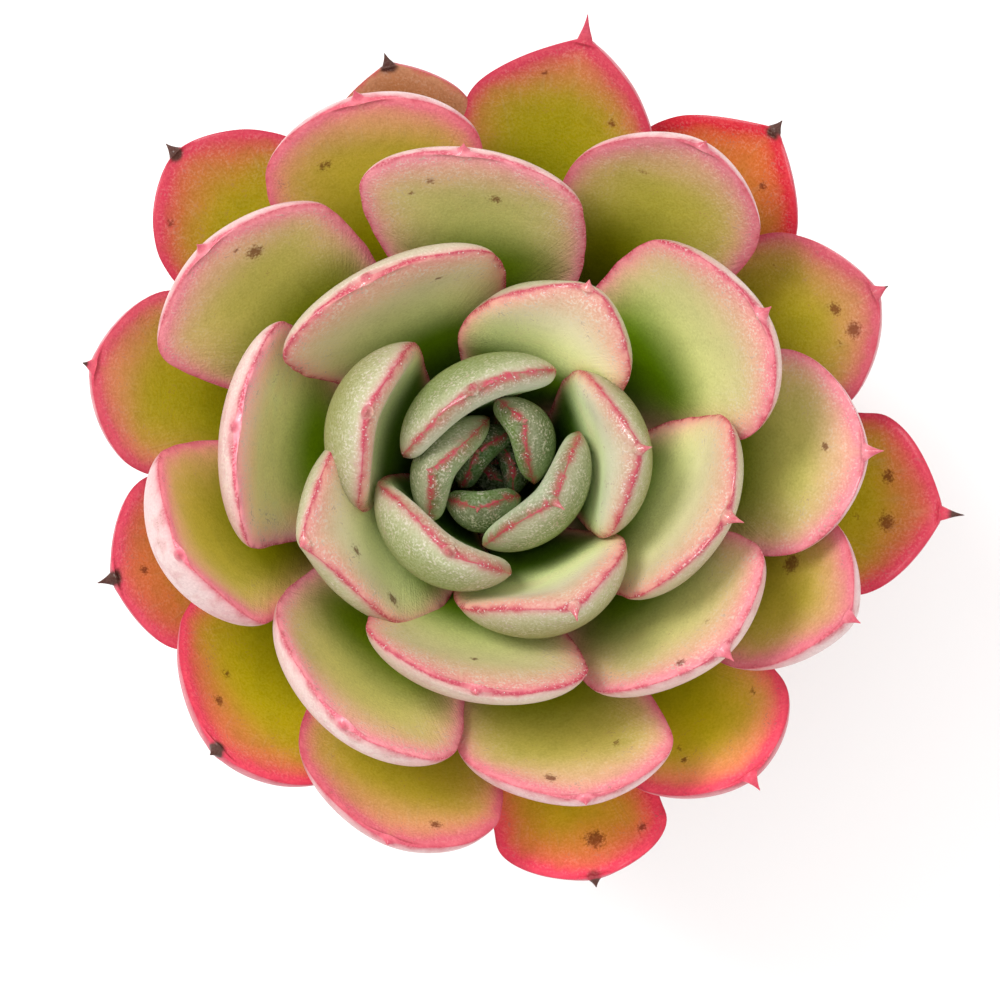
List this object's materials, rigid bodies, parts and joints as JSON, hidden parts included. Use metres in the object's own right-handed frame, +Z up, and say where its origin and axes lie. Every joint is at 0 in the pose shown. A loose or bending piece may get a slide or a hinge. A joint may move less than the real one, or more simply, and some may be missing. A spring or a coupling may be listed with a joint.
{
  "type": "potted strawberry ice echeveria",
  "caption": "Rosette succulent with thick cupped green leaves edged and tipped in pink-red, on a short stem in a plain tapered clay pot of soil.",
  "frame": {"origin": "middle of the pot's base, on the surface that it stands on; the rosette's own axis stands 3.8 mm off it, so that the whole part is centred over the origin", "axes": "+Z up along the pot's axis, +Y towards the top of the plant as it is seen from above, +X to the right in that view"},
  "size_m": [0.1006, 0.0996, 0.1142],
  "materials": {
    "clay": "matte",
    "soil": "matte",
    "stem": "matte",
    "leaf_heart": "matte",
    "leaf_inner": "matte",
    "leaf_middle": "satin",
    "leaf_outer": "satin",
    "leaf_old": "matte"
  },
  "bodies": {
    "root": {"pot": "clay", "soil": "soil", "stem": "stem", "centre_bud": "leaf_heart", "leaf_01": "leaf_heart", "leaf_02": "leaf_heart", "leaf_03": "leaf_heart", "leaf_04": "leaf_heart", "leaf_05": "leaf_heart", "leaf_06": "leaf_heart", "leaf_07": "leaf_heart", "leaf_08": "leaf_inner", "leaf_09": "leaf_inner", "leaf_10": "leaf_inner", "leaf_11": "leaf_inner", "leaf_12": "leaf_inner", "leaf_13": "leaf_inner", "leaf_14": "leaf_inner", "leaf_15": "leaf_inner", "leaf_16": "leaf_middle", "leaf_17": "leaf_middle", "leaf_18": "leaf_middle", "leaf_19": "leaf_middle", "leaf_20": "leaf_middle", "leaf_21": "leaf_middle", "leaf_22": "leaf_middle", "leaf_23": "leaf_middle", "leaf_24": "leaf_middle", "leaf_25": "leaf_middle", "leaf_26": "leaf_middle", "leaf_27": "leaf_middle", "leaf_28": "leaf_outer", "leaf_29": "leaf_outer", "leaf_30": "leaf_outer", "leaf_31": "leaf_outer", "leaf_32": "leaf_outer", "leaf_33": "leaf_outer", "leaf_34": "leaf_outer", "leaf_35": "leaf_outer", "leaf_36": "leaf_outer", "leaf_37": "leaf_outer", "leaf_38": "leaf_outer", "leaf_39": "leaf_outer", "leaf_40": "leaf_old", "leaf_41": "leaf_old"}
  },
  "joints": []
}
